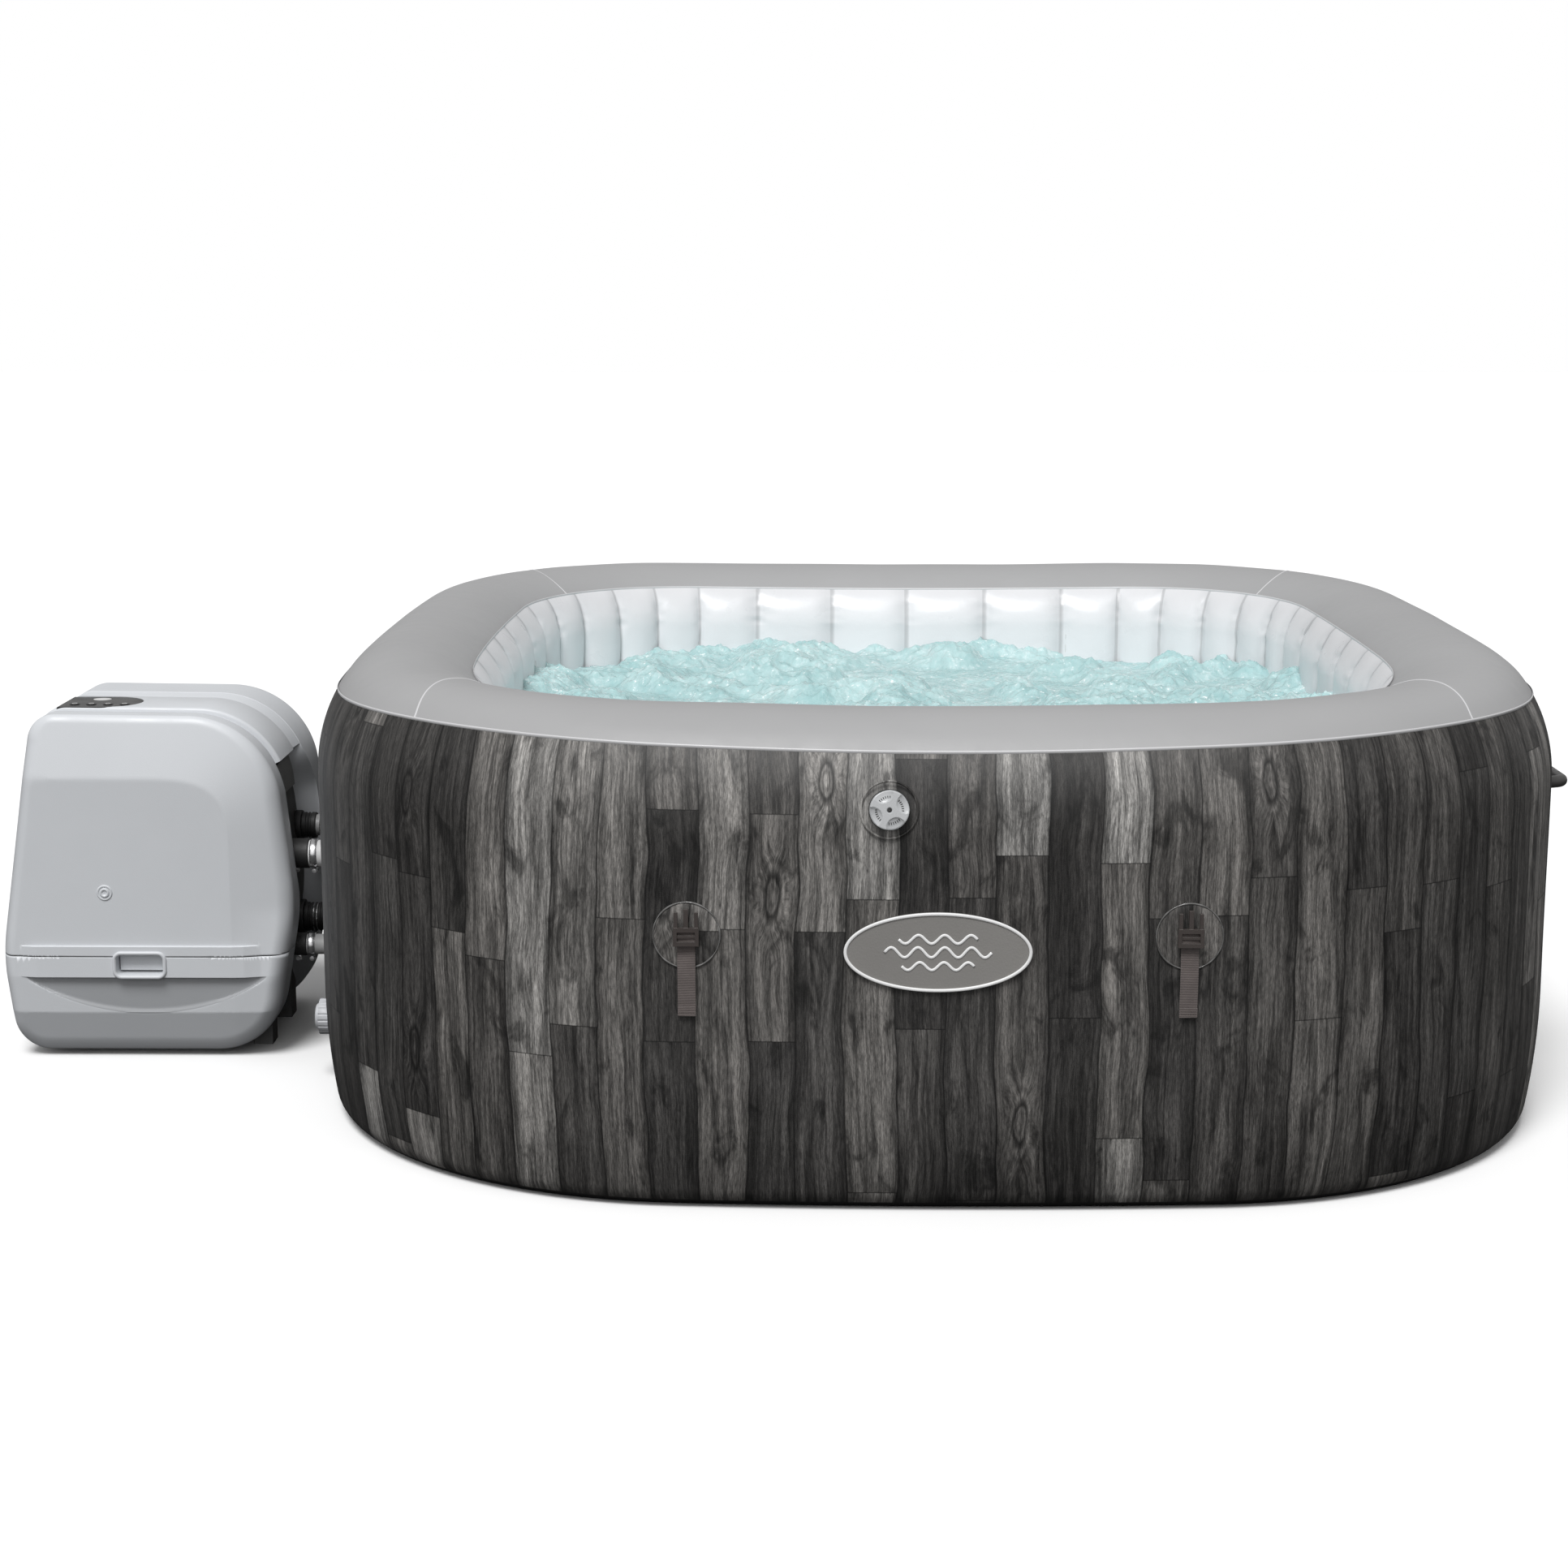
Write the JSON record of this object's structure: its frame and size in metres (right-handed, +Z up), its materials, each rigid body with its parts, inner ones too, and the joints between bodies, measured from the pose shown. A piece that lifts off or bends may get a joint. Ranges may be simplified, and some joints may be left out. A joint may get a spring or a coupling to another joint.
{
  "type": "inflatable hot tub",
  "caption": "Square inflatable hot tub with a soft rim, wood-print wall and pleated liner, fed by hoses from a free-standing pump unit.",
  "frame": {"origin": "on the floor under the middle of the tub, on the underside of its base sheet", "axes": "+X runs from the pump unit across the tub, +Z up, front faces -Y"},
  "size_m": [2.3637, 1.8585, 0.68],
  "materials": {
    "printed_vinyl": "satin wood print",
    "rim_vinyl": "satin",
    "liner_vinyl": "satin",
    "base_vinyl": "matt",
    "web_vinyl": "matt",
    "pump_plastic": "fine texture",
    "pump_dark_plastic": "fine texture",
    "panel_gloss": "gloss",
    "button_plastic": "gloss",
    "fitting_plastic": "smooth",
    "valve_plastic": "satin",
    "badge_vinyl": "satin",
    "patch_vinyl": "satin, welded",
    "buckle_plastic": "smooth",
    "black_rubber": "matt",
    "hose_black": "satin",
    "hose_grey": "satin",
    "hose_white": "satin",
    "stainless": "polished",
    "filter_paper": "pleated",
    "motor_metal": "painted",
    "board_green": "lacquered"
  },
  "bodies": {
    "tub": {"air_blower": "pump_dark_plastic", "air_jet_channel": "liner_vinyl", "air_valve_body": "valve_plastic", "badge_plate": "badge_vinyl", "base_sheet": "base_vinyl", "carry_handles": "patch_vinyl", "control_board": "board_green", "control_panel": "panel_gloss", "cord_gland": "black_rubber", "drain_body": "fitting_plastic", "filter_cartridge": "filter_paper", "filter_pump_motor": "motor_metal", "floor_liner": "liner_vinyl", "heater_tube": "stainless", "hose_clamps": "stainless", "hose_lower_front": "hose_grey", "hose_lower_rear": "hose_black", "hose_ports": "hose_black", "hose_upper_front": "hose_white", "hose_upper_rear": "hose_grey", "internal_pipes": "hose_black", "jet_housings": "fitting_plastic", "jet_pump_motor": "motor_metal", "jet_supply_ring": "fitting_plastic", "outer_wall_skin": "printed_vinyl", "pump_back_shell": "pump_plastic", "pump_chassis": "pump_dark_plastic", "pump_feet": "black_rubber", "pump_front_shell": "pump_plastic", "pump_lid": "pump_plastic", "pump_spine": "pump_dark_plastic", "rim_panel_back": "rim_vinyl", "rim_panel_front": "rim_vinyl", "rim_panel_left": "rim_vinyl", "rim_panel_right": "rim_vinyl", "strap_patches": "patch_vinyl", "suction_screens": "fitting_plastic", "wall_flanges": "fitting_plastic", "wall_liner": "liner_vinyl", "wall_webs": "web_vinyl"},
    "filter_cover": {"filter_cover": "fitting_plastic"},
    "drain_cap": {"drain_cap": "fitting_plastic"},
    "valve_cap": {"air_valve_cap": "valve_plastic"},
    "valve_stem": {"air_valve_stem": "valve_plastic", "air_valve_spring": "stainless"},
    "lower_cover": {"pump_lower_cover": "pump_plastic"},
    "latch": {"pump_latch": "pump_plastic"},
    "filter_impeller": {"filter_pump_impeller": "pump_dark_plastic"},
    "jet_impeller": {"jet_pump_impeller": "pump_dark_plastic"},
    "blower_fan": {"blower_fan": "pump_dark_plastic"},
    "buckle_back_left": {"buckle_back_left": "buckle_plastic"},
    "buckle_back_right": {"buckle_back_right": "buckle_plastic"},
    "buckle_front_left": {"buckle_front_left": "buckle_plastic"},
    "buckle_front_right": {"buckle_front_right": "buckle_plastic"},
    "buckle_right_left": {"buckle_right_left": "buckle_plastic"},
    "buckle_right_right": {"buckle_right_right": "buckle_plastic"},
    "button_bubbles": {"button_bubbles": "button_plastic"},
    "button_heat": {"button_heat": "button_plastic"},
    "button_jets": {"button_jets": "button_plastic"},
    "button_power": {"button_power": "button_plastic"}
  },
  "joints": [
    {"name": "filter_cover_twist", "type": "hinge", "parent": "tub", "child": "filter_cover", "pos_m": [-0.6, -0.09, 0.308], "axis": [1, 0, 0], "range_deg": [0, 35]},
    {"name": "drain_cap_turn", "type": "hinge", "parent": "tub", "child": "drain_cap", "pos_m": [-0.905, -0.285, 0.098], "axis": [-1, 0, 0], "range_deg": [0, 270]},
    {"name": "valve_cap_turn", "type": "hinge", "parent": "tub", "child": "valve_cap", "pos_m": [-0.075, -0.89682, 0.536], "axis": [0, -0.9887, 0.1497], "range_deg": [0, 270]},
    {"name": "valve_press", "type": "slide", "parent": "tub", "child": "valve_stem", "axis": [0, 0.9887, -0.1497], "range_m": [0, 0.006], "stiffness_N_per_m": 300},
    {"name": "lower_cover_pull", "type": "slide", "parent": "tub", "child": "lower_cover", "axis": [0, -1, 0], "range_m": [0, 0.06]},
    {"name": "latch_press", "type": "hinge", "parent": "lower_cover", "child": "latch", "pos_m": [-1.205, -0.1875, 0.168], "axis": [1, 0, 0], "range_deg": [0, 18], "stiffness_Nm_per_rad": 0.08},
    {"name": "filter_impeller_spin", "type": "hinge", "parent": "tub", "child": "filter_impeller", "pos_m": [-1.27, -0.07, 0.0856], "axis": [1, 0, 0], "continuous": true},
    {"name": "jet_impeller_spin", "type": "hinge", "parent": "tub", "child": "jet_impeller", "pos_m": [-1.27, 0.06, 0.0956], "axis": [1, 0, 0], "continuous": true},
    {"name": "blower_fan_spin", "type": "hinge", "parent": "tub", "child": "blower_fan", "pos_m": [-1.23, -0.06, 0.33], "axis": [0, 1, 0], "continuous": true},
    {"name": "strap_front_left_tilt", "type": "hinge", "parent": "tub", "child": "buckle_front_left", "pos_m": [-0.332, -0.89941, 0.361], "axis": [1, 0, 0], "range_deg": [0, 75]},
    {"name": "strap_front_right_tilt", "type": "hinge", "parent": "tub", "child": "buckle_front_right", "pos_m": [0.308, -0.90069, 0.361], "axis": [1, 0, 0], "range_deg": [0, 75]},
    {"name": "strap_right_left_tilt", "type": "hinge", "parent": "tub", "child": "buckle_right_left", "pos_m": [0.90006, -0.32, 0.361], "axis": [0, 1, 0], "range_deg": [0, 75]},
    {"name": "strap_right_right_tilt", "type": "hinge", "parent": "tub", "child": "buckle_right_right", "pos_m": [0.90006, 0.32, 0.361], "axis": [0, 1, 0], "range_deg": [0, 75]},
    {"name": "strap_back_left_tilt", "type": "hinge", "parent": "tub", "child": "buckle_back_left", "pos_m": [0.32, 0.90006, 0.361], "axis": [-1, 0, 0], "range_deg": [0, 75]},
    {"name": "strap_back_right_tilt", "type": "hinge", "parent": "tub", "child": "buckle_back_right", "pos_m": [-0.32, 0.90006, 0.361], "axis": [-1, 0, 0], "range_deg": [0, 75]},
    {"name": "button_power_press", "type": "slide", "parent": "tub", "child": "button_power", "axis": [0, 0, -1], "range_m": [0, 0.0015], "stiffness_N_per_m": 800},
    {"name": "button_heat_press", "type": "slide", "parent": "tub", "child": "button_heat", "axis": [0, 0, -1], "range_m": [0, 0.0015], "stiffness_N_per_m": 800},
    {"name": "button_jets_press", "type": "slide", "parent": "tub", "child": "button_jets", "axis": [0, 0, -1], "range_m": [0, 0.0015], "stiffness_N_per_m": 800},
    {"name": "button_bubbles_press", "type": "slide", "parent": "tub", "child": "button_bubbles", "axis": [0, 0, -1], "range_m": [0, 0.0015], "stiffness_N_per_m": 800}
  ]
}
